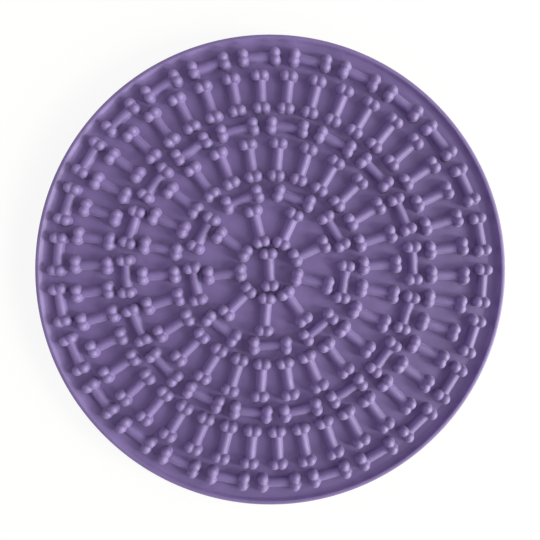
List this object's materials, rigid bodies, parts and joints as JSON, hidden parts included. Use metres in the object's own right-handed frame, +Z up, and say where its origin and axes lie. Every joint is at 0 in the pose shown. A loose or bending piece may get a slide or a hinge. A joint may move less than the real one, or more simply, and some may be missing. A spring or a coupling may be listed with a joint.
{
  "type": "lick mat",
  "caption": "Round silicone lick mat for a dog, with a raised rim and a relief of small bones in rings that wet food is spread between, on moulded suction cups.",
  "frame": {"origin": "middle of the mat, on the plane that the suction cups' lips rest on", "axes": "+Z up, out of the relief; +X to the right and +Y to the top of the picture"},
  "size_m": [0.2, 0.2, 0.0102],
  "materials": {
    "silicone": "satin moulded silicone, purple, the same all over"
  },
  "bodies": {
    "root": {"base_sheet": "silicone", "rim": "silicone", "centre_bone": "silicone", "inner_spoke_bones": "silicone", "inner_ring_bones": "silicone", "middle_spoke_bones": "silicone", "middle_ring_bones": "silicone", "outer_spoke_bones": "silicone", "outer_ring_bones": "silicone", "centre_suction_cup": "silicone", "inner_suction_cups": "silicone", "outer_suction_cups": "silicone"}
  },
  "joints": []
}
